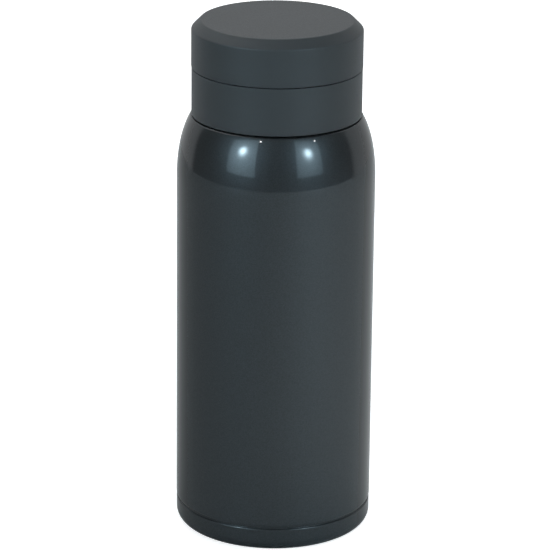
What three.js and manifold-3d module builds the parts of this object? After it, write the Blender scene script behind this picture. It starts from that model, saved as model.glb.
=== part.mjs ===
// A screw-top vacuum bottle: a double-walled steel bottle, a screw-on plastic spout ring
// and a screw cap with an insulated stopper. Millimetres, +Z up, origin at the centre of the underside.

import * as THREE from "three";
import { mergeVertices } from "three/addons/utils/BufferGeometryUtils.js";
import Module from "manifold-3d";

const wasm = await Module();
wasm.setup();

// Overall sizes
const HEIGHT = 186;
const BODY_RADIUS = 35;
const CAP_RADIUS = 30;
const CAP_HEIGHT = 16.55;
const COLLAR_HEIGHT = 16.8;
const BASE_HEIGHT = 8.95; // top edge of the base cup above the ground

// Shape of the outside
const CAP_CHAMFER = 3.2;
const COLLAR_STEP = 0.12; // the collar is this much smaller in radius than the cap
const SHOULDER_RISE = 21.3;
const SHOULDER_SWEEP = THREE.MathUtils.degToRad(55); // the part of an ellipse that the shoulder follows
const SHOULDER_LIP = 0.55; // the shoulder's top edge stands out this far round the collar
const SHOULDER_EDGE = 1.2; // radius where the shoulder turns in under the collar
const BASE_STEP = 0.1; // the base cup is this much smaller in radius than the bottle
const BASE_FILLET = 4;

// Walls
const STEEL = 0.4;
const FOIL = 0.2;
const BASE_WALL = 0.6;
const COVER_WALL = 1.8; // cap shell and collar shell
const SKIRT_WALL = 3.1; // mouthpiece, outside its neck thread
const CEILING_WALL = 1.9; // mouthpiece, over the bottle's lip
const SPOUT_WALL = 2.3;
const LINER_WALL = 1.6;
const STOPPER_WALL = 1.4;

// Gaps
const JOIN_GAP = 0.2; // between pieces that touch
const COLLAR_GAP = 0.5; // seam between shoulder and collar
const CAP_SEAM = 0.3; // seam between collar and cap
const BASE_GROOVE = 0.7; // groove between bottle and base cup
const VACUUM_GAP = 2.4; // between the two steel walls
const FLOOR_GAP = 5; // between the two steel bottoms, with room for the getter
const AIR_GAP = 2; // between cap shell and cap liner
const LIP_CLEARANCE = 0.6; // over the drinking lip, inside the cap
const STOPPER_CLEARANCE = 0.7; // round the stopper in the spout

// Two-start right-hand threads, of the same form on the neck and on the spout
const THREAD_LEAD = 8;
const THREAD_STARTS = 2;
const RIDGE_HEIGHT = 1;
const RIDGE_ROOT = 1.6;
const RIDGE_CREST = 0.9;
const RIDGE_SINK = 0.25; // how deep a ridge is rooted in its wall
const RIDGE_RUNOUT = 0.12; // share of a ridge's length over which each end fades into the wall
const THREAD_CLEARANCE = 0.4;
const THREAD_MARGIN = 1.4; // plain wall below and above the ridges

// Seals, bottom fittings
const NECK_GASKET = 1.2;
const STOPPER_GASKET = 2.4;
const GASKET_DEPTH = 1.7; // depth of the gasket's groove in the stopper
const GASKET_SQUEEZE = 0.15; // what is left between the stopper's gasket and the spout's bore
const STOPPER_REACH = 3.5; // how far the stopper goes below the mouthpiece
const SPIGOT = 3.2; // height of the base cup's spigot inside the bottle
const BOTTOM_FLANGE = 3;
const INNER_FILLET = 6;
const INNER_RIM = 8; // height of the inner bottom's upturned wall
const PAD_RADIUS = 27;
const PAD_THICKNESS = 1.3;
const PAD_PROUD = 0.3; // the pad stands this much below the base cup
const DIMPLE_RADIUS = 4.5;
const DIMPLE_DEPTH = 1.2;
const EVACUATION_HOLE = 1; // radius
const SEAL_COVER_RADIUS = 9;
const GETTER_RADIUS = 4;
const GETTER_THICKNESS = 2.2;
const GETTER_OFFSET = 16;

const FACETS = 36; // sides of a full turn
const SMALL_FACETS = 20;
const ARC_STEPS = 3;
const SHOULDER_STEPS = 5;

// Heights, from the cap down to the ground
const capBottomZ = HEIGHT - CAP_HEIGHT;
const collarTopZ = capBottomZ - CAP_SEAM;
const collarBottomZ = collarTopZ - COLLAR_HEIGHT;
const ledgeZ = collarBottomZ - COLLAR_GAP;
const linerTopZ = HEIGHT - COVER_WALL - AIR_GAP;
const linerCeilingZ = linerTopZ - LINER_WALL;
const spoutTopZ = linerCeilingZ - LIP_CLEARANCE;
const collarFlangeZ = collarTopZ - COVER_WALL;
const mouthpieceFlangeZ = collarFlangeZ - JOIN_GAP;
const mouthpieceCeilingZ = mouthpieceFlangeZ - CEILING_WALL;
const neckGasketZ = mouthpieceCeilingZ - JOIN_GAP - NECK_GASKET;
const lipZ = neckGasketZ - JOIN_GAP;
const stopperBottomZ = mouthpieceCeilingZ - STOPPER_REACH;
const stopperTopZ = linerCeilingZ - JOIN_GAP;
const shellBottomZ = BASE_HEIGHT + BASE_GROOVE;
const spigotTopZ = BASE_HEIGHT + SPIGOT;
const bottomPlateZ = spigotTopZ + JOIN_GAP + BOTTOM_FLANGE;
const innerBottomZ = bottomPlateZ + FLOOR_GAP;
const innerRimZ = innerBottomZ + INNER_RIM;

// Radii, from the outside in
const collarRadius = CAP_RADIUS - COLLAR_STEP;
const collarBore = collarRadius - COVER_WALL;
const skirtRadius = collarBore - JOIN_GAP;
const skirtBore = skirtRadius - SKIRT_WALL;
const neckRadius = skirtBore - THREAD_CLEARANCE - RIDGE_HEIGHT;
const innerNeckRadius = neckRadius - STEEL - JOIN_GAP;
const mouthRadius = innerNeckRadius - STEEL;
const capBore = CAP_RADIUS - COVER_WALL;
const linerRadius = capBore - AIR_GAP;
const linerBore = linerRadius - LINER_WALL;
const spoutRadius = linerBore - THREAD_CLEARANCE - RIDGE_HEIGHT;
const spoutBore = spoutRadius - SPOUT_WALL;
const stopperRadius = spoutBore - STOPPER_CLEARANCE;
const gasketSeatRadius = stopperRadius - GASKET_DEPTH;
const stopperBore = gasketSeatRadius - STOPPER_WALL;
const shellBore = BODY_RADIUS - STEEL;
const bottomRadius = shellBore - JOIN_GAP;
const vesselRadius = shellBore - VACUUM_GAP;
const vesselBore = vesselRadius - STEEL;

const point = (radius, z) => new THREE.Vector2(radius, z);

// Points of an elliptical arc about (radius, z) in the profile's plane.
function arc(radius, z, semiRadius, semiHeight, from, to, steps = ARC_STEPS) {
  const curve = new THREE.EllipseCurve(radius, z, semiRadius, semiHeight, from, to, to < from);
  return curve.getPoints(steps);
}

const UP = Math.PI / 2;

// A profile of [radius, z] points, turned about the Z axis. It runs anticlockwise round the material.
function turned(profile, facets = FACETS) {
  return new THREE.LatheGeometry(profile, facets).rotateX(Math.PI / 2);
}

const closed = (profile) => [...profile, profile[0]];

function ring(inner, outer, low, high) {
  return turned(closed([point(inner, low), point(outer, low), point(outer, high), point(inner, high)]));
}

function disc(radius, low, high, facets = FACETS) {
  return turned([point(0, low), point(radius, low), point(radius, high), point(0, high)], facets);
}

function solid(geometry) {
  const bare = new THREE.BufferGeometry().setAttribute("position", geometry.getAttribute("position"));
  if (geometry.index) bare.setIndex(geometry.index);
  const merged = mergeVertices(bare, 1e-4);
  return new wasm.Manifold(
    new wasm.Mesh({
      numProp: 3,
      vertProperties: merged.getAttribute("position").array,
      triVerts: new Uint32Array(merged.index.array),
    }),
  );
}

function joined(...geometries) {
  const mesh = geometries.map(solid).reduce((whole, piece) => whole.add(piece)).getMesh();
  return new THREE.BufferGeometry()
    .setAttribute("position", new THREE.BufferAttribute(mesh.vertProperties, 3))
    .setIndex(new THREE.BufferAttribute(mesh.triVerts, 1));
}

// One helical ridge on a wall of the given radius. It stands out by height (inwards if negative),
// starts with its lower flank at z, and fades into the wall at both ends.
function ridge(radius, height, z, turns, startAngle) {
  const out = Math.sign(height);
  const flank = (RIDGE_ROOT - RIDGE_CREST) / 2;
  const section = new THREE.Shape([
    point(0, -out * RIDGE_SINK),
    point(RIDGE_ROOT, -out * RIDGE_SINK),
    point(RIDGE_ROOT, 0),
    point(RIDGE_ROOT - flank, height),
    point(flank, height),
    point(0, 0),
  ]);
  const steps = Math.ceil(turns * FACETS);
  const geometry = new THREE.ExtrudeGeometry(section, { depth: 1, steps, bevelEnabled: false });
  const position = geometry.getAttribute("position");
  for (let i = 0; i < position.count; i++) {
    const along = position.getZ(i);
    const fade = Math.min(1, along / RIDGE_RUNOUT, (1 - along) / RIDGE_RUNOUT);
    const offset = position.getY(i);
    const r = radius + (offset * out > 0 ? offset * fade : offset);
    const angle = startAngle + along * turns * 2 * Math.PI;
    position.setXYZ(
      i,
      r * Math.cos(angle),
      r * Math.sin(angle),
      z + position.getX(i) + along * turns * THREAD_LEAD,
    );
  }
  return geometry;
}

// The ridges of one side of a thread that fills the heights from low to high. The other side's
// ridges lie half a pitch away, on the same helix, so the two can only move along it.
function thread(radius, height, low, high) {
  const halfPitch = THREAD_LEAD / THREAD_STARTS / 2;
  const turns = (high - low - halfPitch - RIDGE_ROOT) / THREAD_LEAD;
  const z = height > 0 ? low : low + halfPitch;
  return Array.from({ length: THREAD_STARTS }, (_, start) =>
    ridge(radius, height, z, turns, (start * 2 * Math.PI) / THREAD_STARTS),
  );
}

const neckThread = [ledgeZ + THREAD_MARGIN, lipZ - THREAD_MARGIN / 2];
const spoutThread = [capBottomZ + THREAD_MARGIN / 2, spoutTopZ - THREAD_MARGIN];

// Outer shell: straight wall, elliptical shoulder, small edge radius, ledge under the collar, threaded neck.
function outerShell() {
  const edgeRadius = collarRadius + SHOULDER_LIP;
  const semiRadius = (BODY_RADIUS - edgeRadius) / (1 - Math.cos(SHOULDER_SWEEP));
  const semiHeight = SHOULDER_RISE / Math.sin(SHOULDER_SWEEP);
  const edgeNormal = Math.atan2(Math.sin(SHOULDER_SWEEP) / semiHeight, Math.cos(SHOULDER_SWEEP) / semiRadius);
  const edgeCentre = point(
    edgeRadius - SHOULDER_EDGE * Math.cos(edgeNormal),
    ledgeZ - SHOULDER_EDGE,
  );
  const shoulderZ = edgeCentre.y + SHOULDER_EDGE * Math.sin(edgeNormal) - SHOULDER_RISE;
  const shoulderCentre = BODY_RADIUS - semiRadius;
  const skin = (inset) => [
    point(BODY_RADIUS - inset, shellBottomZ),
    ...arc(shoulderCentre, shoulderZ, semiRadius - inset, semiHeight - inset, 0, SHOULDER_SWEEP, SHOULDER_STEPS),
    ...arc(edgeCentre.x, edgeCentre.y, SHOULDER_EDGE - inset, SHOULDER_EDGE - inset, edgeNormal, UP, 2).slice(1),
    point(neckRadius - inset, ledgeZ - inset),
    point(neckRadius - inset, lipZ - STEEL - JOIN_GAP),
  ];
  const wall = turned(closed([...skin(0), ...skin(STEEL).reverse()]));
  return joined(wall, ...thread(neckRadius, RIDGE_HEIGHT, ...neckThread));
}

// Outer bottom: a pan welded into the shell, with the evacuation hole in a dimple at its centre.
function outerBottom() {
  const low = bottomPlateZ - STEEL;
  return turned(
    closed([
      point(EVACUATION_HOLE, low + DIMPLE_DEPTH),
      point(DIMPLE_RADIUS, low + DIMPLE_DEPTH),
      point(DIMPLE_RADIUS + 0.3, low),
      point(bottomRadius - STEEL, low),
      point(bottomRadius - STEEL, bottomPlateZ - BOTTOM_FLANGE),
      point(bottomRadius, bottomPlateZ - BOTTOM_FLANGE),
      point(bottomRadius, bottomPlateZ),
      point(DIMPLE_RADIUS + STEEL + 0.3, bottomPlateZ),
      point(DIMPLE_RADIUS + STEEL, bottomPlateZ + DIMPLE_DEPTH),
      point(EVACUATION_HOLE, bottomPlateZ + DIMPLE_DEPTH),
    ]),
  );
}

// Inner vessel: straight wall, domed shoulder, neck, and a lip folded out over the outer shell's neck.
function innerVessel() {
  const domeTopZ = ledgeZ - STEEL - VACUUM_GAP;
  const domeHeight = SHOULDER_RISE - VACUUM_GAP;
  const dome = (inset) =>
    arc(
      innerNeckRadius - inset,
      domeTopZ - domeHeight,
      vesselRadius - innerNeckRadius,
      domeHeight - inset,
      0,
      UP,
      SHOULDER_STEPS,
    );
  return turned(
    closed([
      point(vesselRadius, innerRimZ + JOIN_GAP),
      ...dome(0),
      point(innerNeckRadius, lipZ - STEEL),
      point(neckRadius, lipZ - STEEL),
      point(neckRadius, lipZ),
      point(mouthRadius, lipZ),
      ...dome(STEEL).reverse(),
      point(vesselBore, innerRimZ + JOIN_GAP),
    ]),
  );
}

// Inner bottom: a shallow cup welded to the vessel's lower end.
function innerBottom() {
  const centre = point(vesselRadius - INNER_FILLET, innerBottomZ + INNER_FILLET);
  const corner = (radius) => arc(centre.x, centre.y, radius, radius, -UP, 0);
  return turned([
    point(0, innerBottomZ),
    ...corner(INNER_FILLET),
    point(vesselRadius, innerRimZ),
    point(vesselBore, innerRimZ),
    ...corner(INNER_FILLET - STEEL).reverse(),
    point(0, innerBottomZ + STEEL),
  ]);
}

// Copper foil round the vessel and under it, which reflects heat back.
function sideFoil() {
  const inner = vesselRadius + JOIN_GAP;
  return ring(inner, inner + FOIL, innerBottomZ + INNER_FILLET, ledgeZ - SHOULDER_RISE - VACUUM_GAP);
}

function bottomFoil() {
  const top = innerBottomZ - JOIN_GAP;
  return disc(vesselRadius - INNER_FILLET, top - FOIL, top);
}

// Getter cup and pill, drawn on their own axis. The cup is spot-welded to the outer bottom.
const getterFloorZ = bottomPlateZ + JOIN_GAP;

function getterCup() {
  const bore = GETTER_RADIUS + JOIN_GAP;
  const rim = getterFloorZ + STEEL + GETTER_THICKNESS / 2;
  return turned(
    [
      point(0, getterFloorZ),
      point(bore + STEEL, getterFloorZ),
      point(bore + STEEL, rim),
      point(bore, rim),
      point(bore, getterFloorZ + STEEL),
      point(0, getterFloorZ + STEEL),
    ],
    SMALL_FACETS,
  );
}

function getterPill() {
  const low = getterFloorZ + STEEL + JOIN_GAP;
  return disc(GETTER_RADIUS, low, low + GETTER_THICKNESS, SMALL_FACETS);
}

// Seal bead under the evacuation hole, and the glued disc that covers it.
function sealBead() {
  const top = bottomPlateZ - STEEL + DIMPLE_DEPTH - JOIN_GAP;
  return disc(DIMPLE_RADIUS - JOIN_GAP, top - DIMPLE_DEPTH + JOIN_GAP, top, SMALL_FACETS);
}

function sealCover() {
  const top = bottomPlateZ - STEEL - JOIN_GAP;
  return disc(SEAL_COVER_RADIUS, top - STEEL, top);
}

// Base cup: rounded foot, groove, and a spigot that goes up inside the shell.
function baseCup() {
  const radius = BODY_RADIUS - BASE_STEP;
  const centre = point(radius - BASE_FILLET, PAD_PROUD + BASE_FILLET);
  const corner = (size) => arc(centre.x, centre.y, size, size, -UP, 0);
  const recessZ = PAD_THICKNESS + JOIN_GAP;
  return turned([
    point(0, recessZ),
    point(PAD_RADIUS + JOIN_GAP, recessZ),
    point(PAD_RADIUS + JOIN_GAP, PAD_PROUD),
    ...corner(BASE_FILLET),
    point(radius, BASE_HEIGHT),
    point(bottomRadius, BASE_HEIGHT),
    point(bottomRadius, spigotTopZ),
    point(bottomRadius - BASE_WALL, spigotTopZ),
    point(bottomRadius - BASE_WALL, recessZ + BASE_WALL + BASE_FILLET / 2),
    point(bottomRadius - BASE_WALL - BASE_FILLET / 2, recessZ + BASE_WALL),
    point(0, recessZ + BASE_WALL),
  ]);
}

const basePad = () => disc(PAD_RADIUS, 0, PAD_THICKNESS);

// Collar shell: the visible lower tier, an outer wall with a flange over the mouthpiece.
function collarShell() {
  const flangeBore = spoutRadius + RIDGE_HEIGHT + THREAD_CLEARANCE;
  return turned(
    closed([
      point(collarBore, collarBottomZ),
      point(collarRadius, collarBottomZ),
      point(collarRadius, collarTopZ),
      point(flangeBore, collarTopZ),
      point(flangeBore, collarFlangeZ),
      point(collarBore, collarFlangeZ),
    ]),
  );
}

// Mouthpiece: a skirt threaded on the neck, a ceiling over the lip, and a spout with the cap's thread.
function mouthpiece() {
  const lipRadius = SPOUT_WALL / 2;
  const wall = turned(
    closed([
      point(skirtBore, collarBottomZ + JOIN_GAP),
      point(skirtRadius, collarBottomZ + JOIN_GAP),
      point(skirtRadius, mouthpieceFlangeZ),
      point(spoutRadius, mouthpieceFlangeZ),
      ...arc(spoutBore + lipRadius, spoutTopZ - lipRadius, lipRadius, lipRadius, 0, Math.PI),
      point(spoutBore, mouthpieceCeilingZ),
      point(skirtBore, mouthpieceCeilingZ),
    ]),
  );
  return joined(
    wall,
    ...thread(skirtBore, -RIDGE_HEIGHT, ...neckThread),
    ...thread(spoutRadius, RIDGE_HEIGHT, ...spoutThread),
  );
}

function neckGasket() {
  return ring(spoutBore + JOIN_GAP, neckRadius + RIDGE_HEIGHT, neckGasketZ, neckGasketZ + NECK_GASKET);
}

// Cap shell: the visible upper tier, with a chamfered top edge.
function capShell() {
  const innerChamfer = CAP_CHAMFER - COVER_WALL * (2 - Math.SQRT2);
  return turned([
    point(0, HEIGHT - COVER_WALL),
    point(capBore - innerChamfer, HEIGHT - COVER_WALL),
    point(capBore, HEIGHT - COVER_WALL - innerChamfer),
    point(capBore, capBottomZ),
    point(CAP_RADIUS, capBottomZ),
    point(CAP_RADIUS, HEIGHT - CAP_CHAMFER),
    point(CAP_RADIUS - CAP_CHAMFER, HEIGHT),
    point(0, HEIGHT),
  ]);
}

// Cap liner: a threaded skirt under a plate, with a foot flange that closes the gap to the cap shell.
function capLiner() {
  const footZ = capBottomZ + JOIN_GAP;
  const wall = turned([
    point(0, linerCeilingZ),
    point(linerBore, linerCeilingZ),
    point(linerBore, footZ),
    point(capBore - JOIN_GAP, footZ),
    point(capBore - JOIN_GAP, footZ + LINER_WALL),
    point(linerRadius, footZ + LINER_WALL),
    point(linerRadius, linerTopZ),
    point(0, linerTopZ),
  ]);
  return joined(wall, ...thread(linerBore, -RIDGE_HEIGHT, ...spoutThread));
}

// Stopper: a cup welded under the liner, with a groove near its lower end for its gasket.
const stopperGrooveZ = mouthpieceCeilingZ + JOIN_GAP * 2;
const stopperGrooveTopZ = stopperGrooveZ + STOPPER_GASKET + JOIN_GAP * 2;

function stopperCup() {
  const chamfer = STOPPER_WALL / 2;
  return turned([
    point(0, stopperBottomZ),
    point(stopperRadius - chamfer, stopperBottomZ),
    point(stopperRadius, stopperBottomZ + chamfer),
    point(stopperRadius, stopperGrooveZ),
    point(gasketSeatRadius, stopperGrooveZ),
    point(gasketSeatRadius, stopperGrooveTopZ),
    point(stopperRadius, stopperGrooveTopZ),
    point(stopperRadius, stopperTopZ),
    point(stopperBore, stopperTopZ),
    point(stopperBore, stopperBottomZ + STOPPER_WALL),
    point(0, stopperBottomZ + STOPPER_WALL),
  ]);
}

const stopperFoam = () =>
  disc(stopperBore - JOIN_GAP, stopperBottomZ + STOPPER_WALL + JOIN_GAP, stopperTopZ - JOIN_GAP);

function stopperGasket() {
  const low = stopperGrooveZ + JOIN_GAP;
  const inner = gasketSeatRadius + JOIN_GAP;
  return turned(
    closed([
      point(inner, low),
      point(stopperRadius, low),
      point(spoutBore - GASKET_SQUEEZE, low + STOPPER_GASKET / 2),
      point(stopperRadius, low + STOPPER_GASKET),
      point(inner, low + STOPPER_GASKET),
    ]),
  );
}

const finish = (color, roughness, metalness) => new THREE.MeshStandardMaterial({ color, roughness, metalness });

const coatedSteel = finish("#43484d", 0.35, 0.6);
const bareSteel = finish("#b4b6b8", 0.3, 1);
const copperFoil = finish("#b87a56", 0.3, 1);
const getterAlloy = finish("#6d6a66", 0.7, 0.8);
const solderGlass = finish("#3c4a44", 0.2, 0);
const texturedPlastic = finish("#3f4446", 0.65, 0);
const linerPlastic = finish("#2c2f31", 0.5, 0);
const silicone = finish("#d6d4cf", 0.6, 0);
const padRubber = finish("#232527", 0.85, 0);
const foam = finish("#f0efe9", 0.95, 0);

const pieces = [
  ["outer_shell", outerShell(), coatedSteel],
  ["outer_bottom", outerBottom(), bareSteel],
  ["inner_vessel", innerVessel(), bareSteel],
  ["inner_bottom", innerBottom(), bareSteel],
  ["side_foil", sideFoil(), copperFoil],
  ["bottom_foil", bottomFoil(), copperFoil],
  ["getter_cup", getterCup(), bareSteel],
  ["getter_pill", getterPill(), getterAlloy],
  ["seal_bead", sealBead(), solderGlass],
  ["seal_cover", sealCover(), bareSteel],
  ["base_cup", baseCup(), coatedSteel],
  ["base_pad", basePad(), padRubber],
  ["collar_shell", collarShell(), texturedPlastic],
  ["mouthpiece", mouthpiece(), linerPlastic],
  ["neck_gasket", neckGasket(), silicone],
  ["cap_shell", capShell(), texturedPlastic],
  ["cap_liner", capLiner(), linerPlastic],
  ["stopper_cup", stopperCup(), linerPlastic],
  ["stopper_foam", stopperFoam(), foam],
  ["stopper_gasket", stopperGasket(), silicone],
];

const bottle = new THREE.Group();
for (const [name, geometry, material] of pieces) {
  const mesh = new THREE.Mesh(geometry, material);
  mesh.name = name;
  bottle.add(mesh);
}
for (const name of ["getter_cup", "getter_pill"]) {
  bottle.getObjectByName(name).position.x = GETTER_OFFSET;
}

export default bottle;
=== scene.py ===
"""A screw-top vacuum bottle: a double-walled steel bottle in a dark metallic lacquer, a screw-on spout ring
with a plastic collar, and a screw cap with an insulated stopper. Profiles are in millimetres, objects in
metres."""

import bpy
import numpy as np
from mathutils import Matrix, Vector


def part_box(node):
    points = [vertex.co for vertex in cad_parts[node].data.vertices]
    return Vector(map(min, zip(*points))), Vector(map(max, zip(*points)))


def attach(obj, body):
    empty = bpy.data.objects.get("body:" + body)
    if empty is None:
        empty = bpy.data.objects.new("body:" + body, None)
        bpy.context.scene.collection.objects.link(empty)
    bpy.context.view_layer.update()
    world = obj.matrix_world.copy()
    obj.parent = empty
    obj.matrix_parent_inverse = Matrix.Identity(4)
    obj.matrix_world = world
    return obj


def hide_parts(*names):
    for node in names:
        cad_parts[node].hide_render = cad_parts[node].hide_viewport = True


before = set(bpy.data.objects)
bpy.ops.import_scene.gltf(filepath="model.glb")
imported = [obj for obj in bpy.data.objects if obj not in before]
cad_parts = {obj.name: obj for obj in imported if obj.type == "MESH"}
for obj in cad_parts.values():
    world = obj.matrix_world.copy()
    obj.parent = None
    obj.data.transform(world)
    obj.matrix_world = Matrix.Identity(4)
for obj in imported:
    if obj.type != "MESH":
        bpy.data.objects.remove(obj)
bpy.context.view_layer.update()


# ---- Inner vessel and its bottom -------------------------------------------------------------------------
# The vessel that holds the drink: 18/8 stainless steel, spun to a dome and a neck, with a lip folded out
# over the outer shell's neck. Its bottom is a pressed cup, butt-welded to it all round, and both are
# electropolished inside.

def extent(node):
    """Radius about the Z axis, lowest and highest height of a CAD node, in mm."""
    low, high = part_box(node)
    return high.x * 1000, low.z * 1000, high.z * 1000


def arc(radius, height, across, up, start, end, count):
    """Profile points without a fillet on an ellipse about (radius, height): across and up are its
    half-widths, and the points are spread evenly over the angles from start to end, in degrees."""
    angle = np.radians(np.linspace(start, end, count))
    return np.column_stack([radius + across * np.cos(angle), height + up * np.sin(angle), 0 * angle])


def line(radius, low, high, count):
    """Profile points without a fillet, spread evenly from one height to another on a straight wall."""
    return np.column_stack([np.full(count, radius), np.linspace(low, high, count), np.zeros(count)])


def rounded(*corners, steps=6):
    """The profile through corners of (radius, height, fillet), each corner turned into an arc of its
    fillet. The arc's centre lies fillet / sin(half the corner's angle) along the bisector of its two sides,
    and its points are spread evenly from one tangent point to the other. A point past each end, by a tenth
    of the fillet and at most 0.1 mm, keeps the flats flat."""
    corner = np.vstack(corners).astype(float)
    at, fillet = corner[:, :2], corner[:, 2:]
    back, on = (np.roll(at, shift, 0) - at for shift in (1, -1))
    back, on = (side / np.maximum(np.linalg.norm(side, axis=1, keepdims=True), 1e-9) for side in (back, on))
    half = np.arccos(np.clip((back * on).sum(1, keepdims=True), -1, 1)) / 2
    reach = fillet / np.tan(half)
    bisector = (back + on) / np.maximum(np.linalg.norm(back + on, axis=1, keepdims=True), 1e-9)
    centre = at + bisector * fillet / np.sin(half)
    turn = np.pi - 2 * half[:, None]
    share = np.linspace(0, 1, steps + 1)[None, :, None]
    first, last = (at + side * reach - centre for side in (back, on))
    between = np.sin((1 - share) * turn) * first[:, None] + np.sin(share * turn) * last[:, None]
    swept = centre[:, None] + between / np.maximum(np.sin(turn), 1e-6)
    flat = reach + np.minimum(0.1, 0.1 * fillet)
    points = np.concatenate([(at + back * flat)[:, None], swept, (at + on * flat)[:, None]], 1).reshape(-1, 2)
    apart = np.linalg.norm(points - np.roll(points, 1, 0), axis=1) > 1e-5
    apart[0] = True
    return points[apart]


def turned(name, profile, *finishes, sides=192, relief=None, middle=0):
    """Carries a profile round an upright axis: point (i, k) lies at (middle + r cos a, r sin a, z), in mm,
    where r and z are those of profile point i, a is 2 pi k / sides, and relief(a, r, z) is added to r. A
    profile that runs anticlockwise round its material faces outwards. It closes on itself, or in two poles
    if it starts and ends on the axis."""
    poles = profile[0, 0] < 1e-9
    rings = profile[1:-1] if poles else profile
    count = len(rings)
    angle = np.arange(sides) * 2 * np.pi / sides
    radius, height = (np.repeat(values, sides, 1) for values in (rings[:, :1], rings[:, 1:]))
    if relief:
        radius = radius + relief(angle[None], radius, height)
    points = np.stack([middle + radius * np.cos(angle), radius * np.sin(angle), height], -1).reshape(-1, 3)
    row = np.arange(count - 1 if poles else count)[:, None] * sides
    above = (row + sides) % (count * sides)
    step, after = np.arange(sides), (np.arange(sides) + 1) % sides
    faces = np.stack([row + step, row + after, above + after, above + step], -1).reshape(-1, 4).tolist()
    if poles:
        points = np.vstack([points, [[middle, 0, profile[0, 1]], [middle, 0, profile[-1, 1]]]])
        pole, top = count * sides, (count - 1) * sides
        faces += np.column_stack([np.full(sides, pole), after, step]).tolist()
        faces += np.column_stack([top + step, top + after, np.full(sides, pole + 1)]).tolist()
    mesh = bpy.data.meshes.new(name)
    mesh.from_pydata((points / 1000).tolist(), [], faces)
    mesh.polygons.foreach_set("use_smooth", np.ones(len(mesh.polygons), bool))
    for finish in finishes:
        mesh.materials.append(finish)
    piece = bpy.data.objects.new(name, mesh)
    bpy.context.scene.collection.objects.link(piece)
    return piece


def colour(code):
    """An sRGB hex colour as linear red, green, blue and alpha: ((c + 0.055) / 1.055) ** 2.4 above 0.04045,
    else c / 12.92."""
    srgb = np.array([int(code[i : i + 2], 16) for i in (1, 3, 5)]) / 255
    return (*np.where(srgb > 0.04045, ((srgb + 0.055) / 1.055) ** 2.4, srgb / 12.92).tolist(), 1)


def add(tree, kind, inputs=None, **settings):
    """Adds a shader node. Settings are its own properties; an input takes a value, or another node's
    output."""
    made = tree.nodes.new("ShaderNode" + kind)
    for key, value in settings.items():
        setattr(made, key, value)
    for key, value in (inputs or {}).items():
        if isinstance(value, bpy.types.NodeSocket):
            tree.links.new(value, made.inputs[key])
        else:
            made.inputs[key].default_value = value
    return made


def begun(name):
    """A new material with an empty node tree, that tree, and the output of Object coordinates, in
    metres."""
    made = bpy.data.materials.new(name)
    made.use_nodes = True
    made.node_tree.nodes.clear()
    return made, made.node_tree, add(made.node_tree, "TexCoord").outputs["Object"]


STEEL = 0.4  # the sheet that the vessel and the shell are made of
JOIN = 0.2  # the gap left between pieces that touch or are stuck together
HALF_WELD = 0.08  # how far the vessel and its bottom each reach into the weld between them

# Electropolished 18/8 stainless steel: bright, with the soft lines of the spinning chuck still showing
# through, one about every 0.6 mm, and a faint cloudiness from the polishing bath.
steel_bright, tree, place = begun("electropolished-stainless-steel")
along = add(tree, "SeparateXYZ", {"Vector": place})
out = add(tree, "VectorMath", {0: place, 1: (1, 1, 0)}, operation="MULTIPLY")
out = add(tree, "VectorMath", {0: out.outputs[0]}, operation="LENGTH")
path = add(tree, "Math", {0: along.outputs["Z"], 1: out.outputs["Value"]}, operation="ADD")
lines = add(tree, "TexNoise", {"W": path.outputs[0], "Scale": 1650, "Detail": 3}, noise_dimensions="1D")
cloud = add(tree, "TexNoise", {"Vector": place, "Scale": 70, "Detail": 2})
rough = add(tree, "MapRange", {
    "Value": cloud.outputs[0], "From Min": 0.3, "From Max": 0.7, "To Min": 0.2, "To Max": 0.3,
})
tint = add(tree, "Mix", {0: cloud.outputs[0], 6: colour("#c3c2bf"), 7: colour("#b4b4b3")}, data_type="RGBA")
bump = add(tree, "Bump", {"Height": lines.outputs[0], "Strength": 0.12, "Distance": 0.00004})
skin = add(tree, "BsdfPrincipled", {
    "Base Color": tint.outputs[2], "Metallic": 1, "Roughness": rough.outputs[0], "Normal": bump.outputs[0],
})
add(tree, "OutputMaterial", {"Surface": skin.outputs[0]})

vessel_radius, weld, lip = extent("inner_vessel")
_, bottom_low, bottom_rim = extent("inner_bottom")
neck_bore, lip_radius = 22.38, 23.38
dome_foot, dome_top = 130.15, 149.05
NECK_BEND = 1.5  # fillet where the dome turns up into the neck


def dome(inset):
    """Points up the vessel's dome, or up the wall's inside if inset by its thickness: a quarter ellipse
    from the straight wall to the foot of the neck."""
    foot = neck_bore + STEEL + NECK_BEND
    return arc(foot, dome_foot, vessel_radius - foot - inset, dome_top - dome_foot - inset, 0, 90, 20)


vessel = turned(
    "vessel",
    rounded(
        (vessel_radius, weld - HALF_WELD, 0.1),
        dome(0),
        (neck_bore + STEEL, dome_top, NECK_BEND - 0.1),
        (neck_bore + STEEL, lip - STEEL, 0.15),
        (lip_radius, lip - STEEL, 0.15),
        (lip_radius, lip, 0.22),
        (neck_bore, lip, 0.35),
        (neck_bore, dome_top - STEEL, NECK_BEND),
        dome(STEEL)[::-1],
        (vessel_radius - STEEL, weld - HALF_WELD, 0.1),
    ),
    steel_bright,
)
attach(vessel, "bottle")
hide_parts("inner_vessel")

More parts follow.
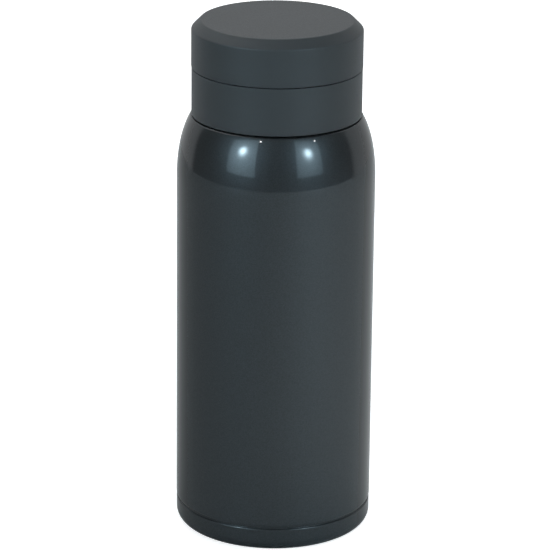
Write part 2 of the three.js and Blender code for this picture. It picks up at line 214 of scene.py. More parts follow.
RISE_IN, RISE_OUT, FLOOR_RISE = 10, 15, 0.7  # the bottom's middle is pressed up this much between these radii
FLOOR_BEND = 6  # fillets of the bottom's outside
vessel_floor = turned(
    "vessel_floor",
    rounded(
        (0, bottom_low + FLOOR_RISE, 0),
        (RISE_IN, bottom_low + FLOOR_RISE, FLOOR_BEND),
        (RISE_OUT, bottom_low, FLOOR_BEND),
        (vessel_radius, bottom_low, FLOOR_BEND),
        (vessel_radius, bottom_rim + HALF_WELD, 0.1),
        (vessel_radius - STEEL, bottom_rim + HALF_WELD, 0.1),
        (vessel_radius - STEEL, bottom_low + STEEL, FLOOR_BEND - STEEL),
        (RISE_OUT, bottom_low + STEEL, FLOOR_BEND),
        (RISE_IN, bottom_low + STEEL + FLOOR_RISE, FLOOR_BEND),
        (0, bottom_low + STEEL + FLOOR_RISE, 0),
        steps=10,
    ),
    steel_bright,
)
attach(vessel_floor, "bottle")
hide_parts("inner_bottom")


# ---- Copper foil round and under the vessel --------------------------------------------------------------
# Thin rolled copper, wrapped by hand round the vessel and laid under it before the shell goes on. It sends
# radiant heat back. Hand wrapping leaves it softly crumpled, with one overlap down its side.

# Rolled copper foil: a warm half-polished metal whose creases, some 4 mm apart, catch the light one by one.
foil_copper, tree, place = begun("rolled-copper-foil")
crease = add(tree, "TexVoronoi", {"Vector": place, "Scale": 240}, feature="F1")
tone = add(tree, "TexNoise", {"Vector": place, "Scale": 60, "Detail": 4})
tint = add(tree, "Mix", {0: tone.outputs[0], 6: colour("#c58a62"), 7: colour("#a9683f")}, data_type="RGBA")
bump = add(tree, "Bump", {"Height": crease.outputs["Distance"], "Strength": 0.35, "Distance": 0.0004})
skin = add(tree, "BsdfPrincipled", {
    "Base Color": tint.outputs[2], "Metallic": 1, "Roughness": 0.26, "Normal": bump.outputs[0],
})
add(tree, "OutputMaterial", {"Surface": skin.outputs[0]})


FOIL = 0.2  # its thickness with the air between its layers


def crumple(angle, radius, height):
    """Soft crumples of a hand-wrapped sheet: 0.12 (1 + w) mm, where w is the product of two waves over the
    angle and the height, and a step of the foil's own thickness where the sheet's edge lies on itself."""
    waves = np.sin(23 * angle + 0.31 * height) * np.sin(0.47 * height + 5 * angle)
    overlap = np.clip((0.12 - np.abs(angle - np.pi)) / 0.02, 0, 1)
    return 0.12 * (1 + waves) + FOIL * overlap


_, foil_low, foil_high = extent("side_foil")
foil_bore = vessel_radius + JOIN
side_wrap = turned(
    "side_wrap",
    rounded(line(foil_bore + FOIL, foil_low, foil_high, 60), line(foil_bore, foil_high, foil_low, 60)),
    foil_copper,
    relief=crumple,
)
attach(side_wrap, "bottle")
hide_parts("side_foil")

foil_radius, foil_low, foil_high = extent("bottom_foil")
bottom_wrap = turned(
    "bottom_wrap",
    rounded(
        (0, foil_low, 0),
        (foil_radius, foil_low, 0.08),
        (foil_radius, foil_high, 0.08),
        (0, foil_high, 0),
    ),
    foil_copper,
)
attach(bottom_wrap, "bottle")
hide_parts("bottom_foil")


# ---- Outer shell -----------------------------------------------------------------------------------------
# Drawn stainless steel: a straight wall, a rounded shoulder, a ledge under the collar, and a neck with a
# rolled two-start thread. It is sprayed with a dark metallic lacquer and a clear coat up to the ledge; the
# neck is bare.

THREAD_LEAD = 8
RIDGE_ROOT, RIDGE_CREST, RIDGE_HEIGHT = 1.6, 0.9, 1
RUNOUT = 0.12  # share of a ridge's length over which each end fades into the wall
MARGIN = 1.4  # plain wall at one end of a thread, with half of it at the other


def screw(angle, radius, height, wall, low, high, depth):
    """How far the two ridges of a screw thread stand out of the wall of that radius, and 0 off it. A ridge
    climbs by the lead in a turn, so its middle lies at foot + root / 2 + lead * turns; across it the height
    is a trapezium and along it both ends run out, each eased by 3 t^2 - 2 t^3. An internal thread has a
    negative depth and lies half a pitch higher."""
    half_pitch = THREAD_LEAD / 4
    turns = (high - low - half_pitch - RIDGE_ROOT) / THREAD_LEAD
    foot = low if depth > 0 else low + half_pitch
    stand = 0
    for start in (0, 0.5):
        turn = (angle / (2 * np.pi) - start) % 1
        middle = foot + RIDGE_ROOT / 2 + THREAD_LEAD * turn
        across = np.clip((RIDGE_ROOT / 2 - np.abs(height - middle)) / ((RIDGE_ROOT - RIDGE_CREST) / 2), 0, 1)
        ends = np.clip(np.minimum(turn, turns - turn) / (RUNOUT * turns), 0, 1)
        stand = stand + across * across * (3 - 2 * across) * ends * ends * (3 - 2 * ends)
    return np.where(np.abs(radius - wall) < 1e-6, depth * stand, 0)


# Metallic lacquer under a clear coat, sprayed: aluminium flakes in a charcoal base give a soft wide sheen,
# and the coat over it is as smooth as glass, with an orange peel 3 mm wide and under a micrometre high. The
# flakes, 0.02 mm across, are drawn 0.25 mm wide so that they show at all.
lacquer, tree, place = begun("metallic-lacquer-under-clear-coat")
flakes = add(tree, "TexVoronoi", {"Vector": place, "Scale": 4000}, feature="F1")
flake = add(tree, "SeparateXYZ", {"Vector": flakes.outputs["Color"]})
tint = add(tree, "Mix", {0: flake.outputs[0], 6: colour("#373b3d"), 7: colour("#404447")}, data_type="RGBA")
rough = add(tree, "MapRange", {"Value": flake.outputs[1], "To Min": 0.38, "To Max": 0.46})
peel = add(tree, "TexNoise", {"Vector": place, "Scale": 330, "Detail": 1})
ripple = add(tree, "Bump", {"Height": peel.outputs[0], "Strength": 0.012, "Distance": 0.0001})
skin = add(tree, "BsdfPrincipled", {
    "Base Color": tint.outputs[2], "Metallic": 1, "Roughness": rough.outputs[0],
    "Specular Tint": colour("#5a5e60"), "Coat Weight": 1, "Coat Roughness": 0.006, "Coat IOR": 1.5,
    "Coat Normal": ripple.outputs[0],
})
add(tree, "OutputMaterial", {"Surface": skin.outputs[0]})

# Drawn stainless steel as it leaves the press: greyer and duller than the vessel, with fine draw lines.
steel_drawn, tree, place = begun("drawn-stainless-steel")
drawn = add(tree, "Mapping", {"Vector": place, "Scale": (900, 900, 2600)})
grain = add(tree, "TexNoise", {"Vector": drawn.outputs[0], "Scale": 1, "Detail": 3})
rough = add(tree, "MapRange", {
    "Value": grain.outputs[0], "From Min": 0.3, "From Max": 0.7, "To Min": 0.3, "To Max": 0.42,
})
tint = add(tree, "Mix", {0: grain.outputs[0], 6: colour("#a3a4a5"), 7: colour("#b8b8b7")}, data_type="RGBA")
bump = add(tree, "Bump", {"Height": grain.outputs[0], "Strength": 0.1, "Distance": 0.00005})
skin = add(tree, "BsdfPrincipled", {
    "Base Color": tint.outputs[2], "Metallic": 1, "Roughness": rough.outputs[0], "Normal": bump.outputs[0],
})
add(tree, "OutputMaterial", {"Surface": skin.outputs[0]})

body_radius, shell_low, neck_top = extent("outer_shell")
collar_radius, collar_low, collar_top = extent("collar_shell")
neck_radius = lip_radius
ledge = collar_low - 0.5  # a seam of 0.5 mm shows between the shoulder and the collar
SWEEP = 55  # degrees of the ellipse that the shoulder follows
EDGE = 0.7  # radius where the shoulder turns in under the collar
RISE = 21.55  # height of the shoulder's curve, up to that edge
CURL_IN, CURL_UP = 0.34, 0.9  # how far the lower edge is curled in, and over what height
edge_radius = collar_radius + 0.55  # the shoulder stands out this far round the collar
shoulder_across = (body_radius - edge_radius) / (1 - np.cos(np.radians(SWEEP)))
shoulder_up = RISE / np.sin(np.radians(SWEEP))
edge_tilt = np.degrees(np.arctan2(
    np.sin(np.radians(SWEEP)) / shoulder_up, np.cos(np.radians(SWEEP)) / shoulder_across
))
edge_r = edge_radius - EDGE * np.cos(np.radians(edge_tilt))
shoulder_z = ledge - EDGE + EDGE * np.sin(np.radians(edge_tilt)) - RISE
shoulder_r = body_radius - shoulder_across
neck_thread = (ledge + MARGIN, lip - MARGIN / 2)


def skin_of(inset):
    """Points up the shoulder and round its top edge, the outer skin or one set in by the wall: an arc of
    SWEEP degrees of the shoulder's ellipse, and a circle's arc that goes on in the same direction until it
    lies level."""
    return np.vstack([
        arc(shoulder_r, shoulder_z, shoulder_across - inset, shoulder_up - inset, 0, SWEEP, 40),
        arc(edge_r, ledge - EDGE, EDGE - inset, EDGE - inset, edge_tilt, 90, 12)[1:],
    ])


shell = turned(
    "shell",
    rounded(
        arc(body_radius - CURL_IN, shell_low + CURL_UP, CURL_IN, CURL_UP, -90, 0, 9),
        line(body_radius, shell_low + 2, shoulder_z - 0.5, 12),
        skin_of(0),
        (neck_radius, ledge, 0.5),
        line(neck_radius, *neck_thread, 56),
        (neck_radius, neck_top, 0.12),
        (neck_radius - STEEL, neck_top, 0.12),
        (neck_radius - STEEL, ledge - STEEL, 0.4),
        skin_of(STEEL)[::-1],
        (body_radius - STEEL, shell_low, 0.02),
    ),
    lacquer,
    steel_drawn,
    relief=lambda *at: screw(*at, neck_radius, *neck_thread, RIDGE_HEIGHT),
)

# The lacquer covers the outside up to the ledge. Faces that look inwards, and those well in under the
# collar, are bare.
centres, normals = np.empty((2, 3 * len(shell.data.polygons)))
shell.data.polygons.foreach_get("center", centres)
shell.data.polygons.foreach_get("normal", normals)
centres, normals = centres.reshape(-1, 3) * 1000, normals.reshape(-1, 3)
inside = (centres[:, :2] * normals[:, :2]).sum(1) < -1
bare = inside | (np.hypot(centres[:, 0], centres[:, 1]) < collar_radius - 3)
shell.data.polygons.foreach_set("material_index", bare.astype(np.int32))
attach(shell, "bottle")
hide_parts("outer_shell")


# ---- Getter, outer bottom and its seal -------------------------------------------------------------------
# A pressed steel pan is welded into the shell. Inside the vacuum it carries the getter, a pill in a small
# cup that soaks up stray gas. The air is drawn out through a hole in the pan's dimple, which solder glass
# then closes.

pan_radius, pan_low, pan_top = extent("outer_bottom")
HOLE, DIMPLE = 1, 1.2  # radius of the hole that the air leaves by, and height of the dimple round it
plate = pan_top - DIMPLE
outer_pan = turned(
    "outer_pan",
    rounded(
        (HOLE, plate - STEEL + DIMPLE, 0.1),
        (4.5, plate - STEEL + DIMPLE, 0.5),
        (4.8, plate - STEEL, 0.3),
        (pan_radius - STEEL, plate - STEEL, 0.8),
        (pan_radius - STEEL, pan_low, 0.08),
        (pan_radius, pan_low, 0.08),
        (pan_radius, plate, 1.2),
        (5.2, plate, 0.3),
        (4.9, plate + DIMPLE, 0.5),
        (HOLE, plate + DIMPLE, 0.1),
    ),
    steel_drawn,
)
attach(outer_pan, "bottle")
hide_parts("outer_bottom")

# Zirconium alloy powder pressed to a pill: dark, matt and grainy, with grains some 0.3 mm across.
getter_powder, tree, place = begun("pressed-zirconium-powder")
grain = add(tree, "TexVoronoi", {"Vector": place, "Scale": 3300}, feature="F1")
tint = add(tree, "Mix", {
    0: grain.outputs["Distance"], 6: colour("#5f5c59"), 7: colour("#8a8681"),
}, data_type="RGBA")
bump = add(tree, "Bump", {"Height": grain.outputs["Distance"], "Strength": 0.5, "Distance": 0.0002})
skin = add(tree, "BsdfPrincipled", {
    "Base Color": tint.outputs[2], "Metallic": 0.8, "Roughness": 0.7, "Normal": bump.outputs[0],
})
add(tree, "OutputMaterial", {"Surface": skin.outputs[0]})

getter_high, cup_low, cup_rim = extent("getter_cup")
_, pill_low, pill_high = extent("getter_pill")
getter_x, pill_radius = 16, 4
cup_radius = getter_high - getter_x
getter_holder = turned(
    "getter_holder",
    rounded(
        (0, cup_low, 0),
        (cup_radius, cup_low, 0.5),
        (cup_radius, cup_rim, 0.12),
        (cup_radius - STEEL, cup_rim, 0.12),
        (cup_radius - STEEL, cup_low + STEEL, 0.2),
        (0, cup_low + STEEL, 0),
    ),
    steel_drawn,
    sides=64,
    middle=getter_x,
)
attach(getter_holder, "bottle")
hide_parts("getter_cup")

getter = turned(
    "getter",
    rounded(
        (0, pill_low, 0),
        (pill_radius, pill_low, 0.3),
        (pill_radius, pill_high, 0.4),
        (0, pill_high, 0),
    ),
    getter_powder,
    sides=64,
    middle=getter_x,
)
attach(getter, "bottle")
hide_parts("getter_pill")

# Solder glass, melted in the hole: a dark green drop with a fire-polished skin and a few bubbles about 0.5
# mm wide.
solder_glass, tree, place = begun("fire-polished-solder-glass")
bubbles = add(tree, "TexVoronoi", {"Vector": place, "Scale": 1500}, feature="SMOOTH_F1")
tint = add(tree, "Mix", {
    0: bubbles.outputs["Distance"], 6: colour("#2c3a33"), 7: colour("#4c6155"),
}, data_type="RGBA")
bump = add(tree, "Bump", {"Height": bubbles.outputs["Distance"], "Strength": 0.15, "Distance": 0.0002})
skin = add(tree, "BsdfPrincipled", {
    "Base Color": tint.outputs[2], "Roughness": 0.12, "IOR": 1.65, "Normal": bump.outputs[0],
})
add(tree, "OutputMaterial", {"Surface": skin.outputs[0]})

bead_radius, bead_low, bead_high = extent("seal_bead")
seal_drop = turned(
    "seal_drop",
    rounded(
        (0, bead_low, 0),
        (bead_radius, bead_low, 0.45),
        (bead_radius, bead_high, 0.45),
        (0, bead_high, 0),
    ),
    solder_glass,
    sides=64,
)
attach(seal_drop, "bottle")
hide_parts("seal_bead")

disc_radius, disc_low, disc_high = extent("seal_cover")
seal_disc = turned(
    "seal_disc",
    rounded(
        (0, disc_low, 0),
        (disc_radius, disc_low, 0.12),
        (disc_radius, disc_high, 0.12),
        (0, disc_high, 0),
    ),
    steel_drawn,
    sides=96,
)
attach(seal_disc, "bottle")
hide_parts("seal_cover")


# ---- Base cup and pad ------------------------------------------------------------------------------------
# A shallow cup with a rounded foot, pushed into the shell's open end on a spigot and glued there, which
# leaves a narrow groove all round. It is sprayed in the shell's lacquer under a thinner clear coat. A
# rubber pad is stuck in its recess.

# The same lacquer under a thin coat that dried less smooth, as on the lower edge of a sprayed part, so that
# its reflections are softer. Its colour is a little darker: painted shade, for the shade low down by the
# floor.
lacquer_thin_coat_painted_shade, tree, place = begun("metallic-lacquer-thinly-coated-painted-shade")
flakes = add(tree, "TexVoronoi", {"Vector": place, "Scale": 4000}, feature="F1")
flake = add(tree, "SeparateXYZ", {"Vector": flakes.outputs["Color"]})
# Painted shade: both tints are a little darker than the shell's lacquer.
tint = add(tree, "Mix", {0: flake.outputs[0], 6: colour("#34383a"), 7: colour("#3d4144")}, data_type="RGBA")
rough = add(tree, "MapRange", {"Value": flake.outputs[1], "To Min": 0.42, "To Max": 0.5})
skin = add(tree, "BsdfPrincipled", {
    "Base Color": tint.outputs[2], "Metallic": 1, "Roughness": rough.outputs[0],
    "Specular Tint": colour("#5a5e60"), "Coat Weight": 1, "Coat Roughness": 0.05, "Coat IOR": 1.5,
})
add(tree, "OutputMaterial", {"Surface": skin.outputs[0]})

base_radius, foot, spigot_top = extent("base_cup")
pad_radius, pad_low, pad_top = extent("base_pad")
base_top, recess = 8.95, pad_top + JOIN
BASE_WALL, FOOT_BEND = 0.6, 4  # wall, and fillet of the foot
base = turned(
    "base",
    rounded(
        (0, recess, 0),
        (pad_radius + JOIN, recess, 0.2),
        (pad_radius + JOIN, foot, 0.3),
        (base_radius, foot, FOOT_BEND),
        (base_radius, base_top, 0.5),
        (pan_radius, base_top, 0.12),
        (pan_radius, spigot_top, 0.15),
        (pan_radius - BASE_WALL, spigot_top, 0.15),
        (pan_radius - BASE_WALL, recess + BASE_WALL, 2),
        (0, recess + BASE_WALL, 0),
        steps=10,
    ),
    lacquer_thin_coat_painted_shade,
)
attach(base, "bottle")
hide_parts("base_cup")

# Moulded rubber: near black, matt, with a spark-eroded grain some 0.4 mm wide and a little paler where it
# is worn.
rubber, tree, place = begun("moulded-black-rubber")
grain = add(tree, "TexNoise", {"Vector": place, "Scale": 2500, "Detail": 2})
wear = add(tree, "TexNoise", {"Vector": place, "Scale": 120, "Detail": 4})
tint = add(tree, "Mix", {0: wear.outputs[0], 6: colour("#1e1f20"), 7: colour("#313234")}, data_type="RGBA")
bump = add(tree, "Bump", {"Height": grain.outputs[0], "Strength": 0.4, "Distance": 0.0001})
skin = add(tree, "BsdfPrincipled", {
    "Base Color": tint.outputs[2], "Roughness": 0.75, "Specular IOR Level": 0.4, "Normal": bump.outputs[0],
})
add(tree, "OutputMaterial", {"Surface": skin.outputs[0]})

# Seven round grooves, one in 2.5 mm, leave ribs on the pad's underside, between a plain middle and a plain
# rim. At a radius r a groove is 0.2 - 0.2 cos(2 pi (r - 6.5) / 2.5) mm deep.
RIBS_IN, RIBS_OUT, RIB_PITCH = 6.5, 24, 2.5
rib_r = np.linspace(RIBS_IN, RIBS_OUT, 141)
ribs = np.column_stack([rib_r, 0.2 - 0.2 * np.cos(2 * np.pi * (rib_r - RIBS_IN) / RIB_PITCH), 0 * rib_r])
pad = turned(
    "pad",
    rounded(
        (0, pad_low, 0),
        ribs + (0, pad_low, 0),
        (pad_radius, pad_low, 0.35),
        (pad_radius, pad_top, 0.15),
        (0, pad_top, 0),
    ),
    rubber,
)
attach(pad, "bottle")
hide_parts("base_pad")


# ---- Neck gasket -----------------------------------------------------------------------------------------
# A moulded silicone ring with round edges, held in the spout ring. It is pressed on the bottle's lip as the
# ring is screwed down, and turns with neither.

# Moulded silicone: milky and soft to look at, with a satin skin and a fine dust of mould grain, 0.3 mm
# wide.
silicone, tree, place = begun("moulded-silicone")
grain = add(tree, "TexNoise", {"Vector": place, "Scale": 3300, "Detail": 2})
tint = add(tree, "Mix", {0: grain.outputs[0], 6: colour("#d2d0ca"), 7: colour("#dddbd6")}, data_type="RGBA")
bump = add(tree, "Bump", {"Height": grain.outputs[0], "Strength": 0.15, "Distance": 0.00005})
skin = add(tree, "BsdfPrincipled", {
    "Base Color": tint.outputs[2], "Roughness": 0.5, "IOR": 1.41, "Normal": bump.outputs[0],
    "Subsurface Weight": 0.25, "Subsurface Scale": 0.002,
})
add(tree, "OutputMaterial", {"Surface": skin.outputs[0]})

gasket_radius, gasket_low, gasket_high = extent("neck_gasket")
gasket_bore = 21.1
neck_ring = turned(
    "neck_ring",
    rounded(
        (gasket_bore, gasket_low, 0.35),
        (gasket_radius, gasket_low, 0.35),
        (gasket_radius, gasket_high, 0.35),
        (gasket_bore, gasket_high, 0.35),
    ),
    silicone,
)
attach(neck_ring, "spout_seal")
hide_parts("neck_gasket")


# ---- Collar and mouthpiece -------------------------------------------------------------------------------
# Two mouldings, pressed and welded together. The collar is the cover that shows: a plain band with a
# flange. The mouthpiece inside it carries the neck's thread, and above it the spout with the cap's thread
# and a round lip.

# ABS moulded in a spark-eroded tool: a matt charcoal, with a grain about 0.35 mm wide that softens every
# highlight, and a faint mottle where the melt ran.
abs_grained, tree, place = begun("spark-grained-abs")
grain = add(tree, "TexNoise", {"Vector": place, "Scale": 2900, "Detail": 2, "Roughness": 0.6})
mottle = add(tree, "TexNoise", {"Vector": place, "Scale": 45, "Detail": 3})
tint = add(tree, "Mix", {0: mottle.outputs[0], 6: colour("#323435"), 7: colour("#393b3d")}, data_type="RGBA")
rough = add(tree, "MapRange", {
    "Value": grain.outputs[0], "From Min": 0.3, "From Max": 0.7, "To Min": 0.4, "To Max": 0.52,
})
bump = add(tree, "Bump", {"Height": grain.outputs[0], "Strength": 0.22, "Distance": 0.00008})
skin = add(tree, "BsdfPrincipled", {
    "Base Color": tint.outputs[2], "Roughness": rough.outputs[0], "IOR": 1.5, "Normal": bump.outputs[0],
})
add(tree, "OutputMaterial", {"Surface": skin.outputs[0]})

COVER = 1.8  # wall of the collar and of the cap's cover
collar_bore, flange_bore = collar_radius - COVER, 24.6
collar = turned(
    "collar",
    rounded(
        (collar_bore, collar_low, 0.15),
        (collar_radius, collar_low, 0.2),
        (collar_radius, collar_top, 0.22),
        (flange_bore, collar_top, 0.3),
        (flange_bore, collar_top - COVER, 0.2),
        (collar_bore, collar_top - COVER, 0.4),
    ),
    abs_grained,
)
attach(collar, "spout")
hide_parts("collar_shell")

# Polypropylene moulded in a polished tool: darker than the covers, half glossy and faintly waxy, with flow
# marks about 6 mm long.
polypropylene, tree, place = begun("smooth-moulded-polypropylene")
flow = add(tree, "TexNoise", {"Vector": place, "Scale": 160, "Detail": 3})
tint = add(tree, "Mix", {0: flow.outputs[0], 6: colour("#26292b"), 7: colour("#2e3234")}, data_type="RGBA")
rough = add(tree, "MapRange", {
    "Value": flow.outputs[0], "From Min": 0.3, "From Max": 0.7, "To Min": 0.3, "To Max": 0.38,
})
bump = add(tree, "Bump", {"Height": flow.outputs[0], "Strength": 0.05, "Distance": 0.0003})
skin = add(tree, "BsdfPrincipled", {
    "Base Color": tint.outputs[2], "Roughness": rough.outputs[0], "IOR": 1.49, "Normal": bump.outputs[0],
})
add(tree, "OutputMaterial", {"Surface": skin.outputs[0]})

skirt_radius, skirt_low, spout_top = extent("mouthpiece")
skirt_bore, spout_radius, spout_bore = 24.78, 23.2, 20.9
CEILING = 1.9  # over the bottle's lip
flange = collar_top - COVER - JOIN
ceiling = flange - CEILING
cap_radius, cap_low, cap_top = extent("cap_shell")
spout_thread = (cap_low + MARGIN / 2, spout_top - MARGIN)
lip_round = (spout_radius - spout_bore) / 2
spout_ring = turned(
    "spout_ring",
    rounded(
        (skirt_bore, skirt_low, 0.3),
        (skirt_radius, skirt_low, 0.2),
        (skirt_radius, flange, 0.2),
        (spout_radius, flange, 0.4),
        line(spout_radius, *spout_thread, 50),
        arc(spout_bore + lip_round, spout_top - lip_round, lip_round, lip_round, 0, 180, 17),
        (spout_bore, ceiling, 0.3),
        (skirt_bore, ceiling, 0.3),
        line(skirt_bore, *neck_thread[::-1], 56),
    ),
    polypropylene,
    relief=lambda *at: (
        screw(*at, spout_radius, *spout_thread, RIDGE_HEIGHT)
        + screw(*at, skirt_bore, *neck_thread, -RIDGE_HEIGHT)
    ),
)
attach(spout_ring, "spout")
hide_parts("mouthpiece")


# ---- Cap -------------------------------------------------------------------------------------------------
# A grained cover with a chamfered top, over a liner with the inner thread and a foot flange that closes the
# gap between them. The stopper is a cup full of foam, welded under the liner; its gasket seals in the
# spout.

CHAMFER = 3.2  # across and down
cover_bore = cap_radius - COVER
inner_chamfer = CHAMFER - COVER * (2 - np.sqrt(2))
cap = turned(
    "cap",
    rounded(
        (0, cap_top - COVER, 0),
        (cover_bore - inner_chamfer, cap_top - COVER, 0.4),
        (cover_bore, cap_top - COVER - inner_chamfer, 0.4),
        (cover_bore, cap_low, 0.15),
        (cap_radius, cap_low, 0.2),
        (cap_radius, cap_top - CHAMFER, 0.9),
        (cap_radius - CHAMFER, cap_top, 0.8),
        (0, cap_top, 0),
    ),
    abs_grained,
)
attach(cap, "cap")
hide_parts("cap_shell")

liner_foot_radius, liner_low, liner_top = extent("cap_liner")
LINER = 1.6  # wall
liner_bore = flange_bore
liner_ceiling, liner_radius = liner_top - LINER, liner_bore + LINER
liner = turned(
    "liner",
    rounded(
        (0, liner_ceiling, 0),
        (liner_bore, liner_ceiling, 0.5),
        line(liner_bore, *spout_thread[::-1], 50),
        (liner_bore, liner_low, 0.25),
        (liner_foot_radius, liner_low, 0.2),
        (liner_foot_radius, liner_low + LINER, 0.2),
        (liner_radius, liner_low + LINER, 0.3),
        (liner_radius, liner_top, 0.6),
        (0, liner_top, 0),
    ),
    polypropylene,
    relief=lambda *at: screw(*at, liner_bore, *spout_thread, -RIDGE_HEIGHT),
)
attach(liner, "cap")
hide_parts("cap_liner")

stopper_radius, stopper_low, stopper_top = extent("stopper_cup")
seal_radius, seal_low, seal_high = extent("stopper_gasket")
STOPPER, SEAT_DEPTH = 1.4, 1.7  # wall of the stopper, and depth of the groove for its gasket
HOLLOW, HOLLOW_UP = 14, 0.5  # radius and height of the hollow in its underside
seat = stopper_radius - SEAT_DEPTH
stopper_bore = seat - STOPPER
stopper = turned(
    "stopper",
    rounded(
        (0, stopper_low + HOLLOW_UP, 0),
        (HOLLOW - 0.6, stopper_low + HOLLOW_UP, 0.5),
        (HOLLOW, stopper_low, 0.4),
        (stopper_radius, stopper_low, 0.9),
        (stopper_radius, seal_low - JOIN, 0.15),
        (seat, seal_low - JOIN, 0.15),
        (seat, seal_high + JOIN, 0.15),
        (stopper_radius, seal_high + JOIN, 0.15),
        (stopper_radius, stopper_top, 0.15),
        (stopper_bore, stopper_top, 0.15),
        (stopper_bore, stopper_low + STOPPER, 0.5),
        (0, stopper_low + STOPPER, 0),
    ),
    polypropylene,
)
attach(stopper, "cap")
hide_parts("stopper_cup")

# Expanded polystyrene, moulded in steam: white beads about 3 mm across, pressed flat against each other.
foam, tree, place = begun("expanded-polystyrene")
beads = add(tree, "TexVoronoi", {"Vector": place, "Scale": 330}, feature="DISTANCE_TO_EDGE")
edge = add(tree, "MapRange", {"Value": beads.outputs[0], "From Max": 0.12})
tint = add(tree, "Mix", {0: edge.outputs[0], 6: colour("#dcdad2"), 7: colour("#f2f1ec")}, data_type="RGBA")
bump = add(tree, "Bump", {"Height": edge.outputs[0], "Strength": 0.5, "Distance": 0.0004})
skin = add(tree, "BsdfPrincipled", {
    "Base Color": tint.outputs[2], "Roughness": 0.85, "IOR": 1.3, "Normal": bump.outputs[0],
})
add(tree, "OutputMaterial", {"Surface": skin.outputs[0]})

foam_radius, foam_low, foam_high = extent("stopper_foam")
plug = turned(
    "plug",
    rounded(
        (0, foam_low, 0),
        (foam_radius, foam_low, 0.8),
        (foam_radius, foam_high, 0.8),
        (0, foam_high, 0),
    ),
    foam,
)
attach(plug, "cap")
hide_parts("stopper_foam")

seal_mid = (seal_low + seal_high) / 2
seal_edge = seal_radius - 0.02
stopper_ring = turned(
    "stopper_ring",
    rounded(
        (seat + JOIN, seal_low, 0.25),
        (stopper_radius, seal_low, 0.3),
        (seal_edge, seal_mid - 0.35, 0.25),
        (seal_edge, seal_mid + 0.35, 0.25),
        (stopper_radius, seal_high, 0.3),
        (seat + JOIN, seal_high, 0.25),
    ),
    silicone,
)
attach(stopper_ring, "stopper_seal")
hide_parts("stopper_gasket")


# ---- Floor -----------------------------------------------------------------------------------------------
# A white laminate table 1.5 m wide, and round it the same white carried out to the horizon, which the
# bottle's coat doesn't mirror, as a dark room begins at the table's edge.

TABLE, HORIZON = 0.77, 40  # radii, m

# Matt white laminate, with the faintest cloudiness. Its colour is darkened round the bottle towards its left,
# a painted shade, as if it were lit from a window on the right.
laminate, tree, place = begun("matt-white-laminate")
cloud = add(tree, "TexNoise", {"Vector": place, "Scale": 3, "Detail": 2})
tint = add(tree, "Mix", {0: cloud.outputs[0], 6: colour("#f2f2f1"), 7: colour("#f5f5f4")}, data_type="RGBA")
# Painted shade: the laminate's colour falls to about half towards the bottle's left.
out = add(tree, "VectorMath", {0: place, 1: (1, 1, 0)}, operation="MULTIPLY")
out = add(tree, "VectorMath", {0: out.outputs[0]}, operation="NORMALIZE")
side = add(tree, "VectorMath", {0: out.outputs[0], 1: (0.94, 0.34, 0)}, operation="DOT_PRODUCT")
painted_floor_shade = add(tree, "MapRange", {
    "Value": side.outputs["Value"], "From Min": -0.9, "From Max": 0.5, "To Min": 0.52, "To Max": 1,
})
tint = add(tree, "Mix", {0: painted_floor_shade.outputs[0], 6: (0, 0, 0, 1), 7: tint.outputs[2]}, data_type="RGBA")
skin = add(tree, "BsdfPrincipled", {
    "Base Color": tint.outputs[2], "Roughness": 0.8, "Specular IOR Level": 0.2,
})
seen = add(tree, "LightPath")
lift = add(tree, "Math", {0: seen.outputs["Is Camera Ray"], 1: 0.85}, operation="MULTIPLY")
glow = add(tree, "Emission", {"Strength": lift.outputs[0]})
both = add(tree, "AddShader", {0: skin.outputs[0], 1: glow.outputs[0]})
add(tree, "OutputMaterial", {"Surface": both.outputs[0]})


def floor_ring(name, inner, outer):
    """A flat ring on the ground from one radius to another, in metres, facing up: two circles joined by
    quads."""
    sides = 128
    angle = np.arange(sides) * 2 * np.pi / sides
    circle = np.column_stack([np.cos(angle), np.sin(angle), 0 * angle])
    step, after = np.arange(sides), (np.arange(sides) + 1) % sides
    faces = np.column_stack([step, sides + step, sides + after, after])
    mesh = bpy.data.meshes.new(name)
    mesh.from_pydata(np.vstack([inner * circle, outer * circle]).tolist(), [], faces.tolist())
    mesh.materials.append(laminate)
    made = bpy.data.objects.new(name, mesh)
    bpy.context.scene.collection.objects.link(made)
    return made


floor_ring("table", 0, TABLE)
surround = floor_ring("surround", TABLE, HORIZON)
surround.visible_glossy = False


# ---- Lights ----------------------------------------------------------------------------------------------
# Two tall softboxes stand in front, to the left and right, each with its lamp showing through as a hot
# spot, and two small bare bulbs hang by them. A wide light hangs above and behind, and the room is dark in
# front of the bottle and pale behind it.

BOX_LOW, BOX_HIGH = 0.11, 1.22  # lower and upper edge of both softboxes, m
SPREAD, HOT_SPREAD = 0.55, 0.13  # how far from its lamp a sheet glows, and the hot spot reaches, m


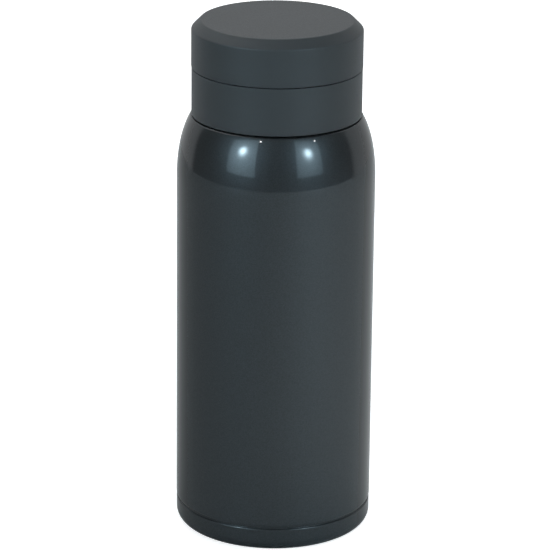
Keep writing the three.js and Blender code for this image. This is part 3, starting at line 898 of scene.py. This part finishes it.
def softbox(name, near, far, lamp, glow, hot):
    """An upright glowing sheet between two points on the ground, near and far (x, y). Its light is glow
    times 1 / (1 + (d / SPREAD)^2) plus hot times e^(-(d / HOT_SPREAD)^2), where d is the distance in metres
    to the lamp behind it, at (x, y, z)."""
    made, tree, place = begun(name + "-diffuser")
    away = add(tree, "VectorMath", {0: place, 1: lamp}, operation="DISTANCE")
    wide = add(tree, "Math", {0: away.outputs["Value"], 1: SPREAD}, operation="DIVIDE")
    wide = add(tree, "Math", {0: wide.outputs[0], 1: 2}, operation="POWER")
    wide = add(tree, "Math", {0: wide.outputs[0], 1: 1}, operation="ADD")
    wide = add(tree, "Math", {0: glow, 1: wide.outputs[0]}, operation="DIVIDE")
    spot = add(tree, "Math", {0: away.outputs["Value"], 1: HOT_SPREAD}, operation="DIVIDE")
    spot = add(tree, "Math", {0: spot.outputs[0], 1: 2}, operation="POWER")
    spot = add(tree, "Math", {0: spot.outputs[0], 1: -1}, operation="MULTIPLY")
    spot = add(tree, "Math", {0: spot.outputs[0]}, operation="EXPONENT")
    spot = add(tree, "Math", {0: spot.outputs[0], 1: hot, 2: wide.outputs[0]}, operation="MULTIPLY_ADD")
    shine = add(tree, "Emission", {"Color": (0.64, 0.87, 1, 1), "Strength": spot.outputs[0]})
    add(tree, "OutputMaterial", {"Surface": shine.outputs[0]})
    mesh = bpy.data.meshes.new(name)
    corners = [(*near, BOX_LOW), (*far, BOX_LOW), (*far, BOX_HIGH), (*near, BOX_HIGH)]
    mesh.from_pydata(corners, [], [(0, 1, 2, 3)])
    mesh.materials.append(made)
    sheet = bpy.data.objects.new(name, mesh)
    bpy.context.scene.collection.objects.link(sheet)
    sheet.visible_camera = False


softbox("softbox_left", (-0.529, -1.188), (-1.56, -0.937), lamp=(-0.969, -1.081, 0.667), glow=3.2, hot=32)
softbox("softbox_right", (0.529, -1.188), (1.42, -0.99), lamp=(0.909, -1.104, 0.62), glow=2.6, hot=27)

for name, at, radius, watts in (
    ("bulb_left", (-0.458, -1.131, 1.063), 0.035, 1.4),
    ("bulb_right", (1.043, -0.773, 0.947), 0.03, 0.7),
):
    light = bpy.data.lights.new(name, "POINT")
    light.shadow_soft_size, light.energy = radius, watts
    bulb = bpy.data.objects.new(name, light)
    bulb.location = at
    bpy.context.scene.collection.objects.link(bulb)

light = bpy.data.lights.new("overhead", "AREA")
light.shape, light.size, light.size_y, light.energy = "RECTANGLE", 1.2, 1.0, 8
overhead = bpy.data.objects.new("overhead", light)
overhead.location = (-0.34, 0.5, 1.45)
overhead.rotation_euler = (np.radians(-19), np.radians(-13), 0)
bpy.context.scene.collection.objects.link(overhead)

# The room: dark in front, pale from some 105 degrees round from there, a little sooner on the right, and
# white where the camera looks at it.
room = bpy.data.worlds.new("room")
room.use_nodes = True
tree = room.node_tree
tree.nodes.clear()
look = add(tree, "TexCoord").outputs["Generated"]
behind = add(tree, "VectorMath", {0: look, 1: (0.1, 0.995, 0)}, operation="DOT_PRODUCT")
pale = add(tree, "MapRange", {
    "Value": behind.outputs["Value"], "From Min": 0.2, "From Max": 0.38, "To Min": 0.18, "To Max": 0.62,
}, interpolation_type="SMOOTHSTEP")
seen = add(tree, "LightPath")
shade = add(tree, "Mix", {0: seen.outputs["Is Camera Ray"], 2: pale.outputs[0], 3: 1.0}, data_type="FLOAT")
air = add(tree, "Background", {"Color": (0.94, 0.98, 1, 1), "Strength": shade.outputs[0]})
add(tree, "OutputWorld", {"Surface": air.outputs[0]})
bpy.context.scene.world = room
bpy.context.scene.view_settings.view_transform = "Standard"


# ---- Camera ----------------------------------------------------------------------------------------------
# A long lens in front of the bottle, a little over a metre away and some 0.3 m over the cap's height. It
# looks down by 19 degrees and is held 0.6 degrees off level.

LENS, SENSOR = 217.1, 36  # mm
DOWN, ROLL = 18.931, 0.01042  # degrees, radians
eye = bpy.data.cameras.new("camera")
eye.sensor_width, eye.lens = SENSOR, LENS
camera = bpy.data.objects.new("camera", eye)
camera.matrix_world = (
    Matrix.Translation((0, -1.116, 0.475))
    @ Matrix.Rotation(np.radians(90 - DOWN), 4, "X")
    @ Matrix.Rotation(ROLL, 4, "Z")
)
bpy.context.scene.collection.objects.link(camera)
bpy.context.scene.camera = camera
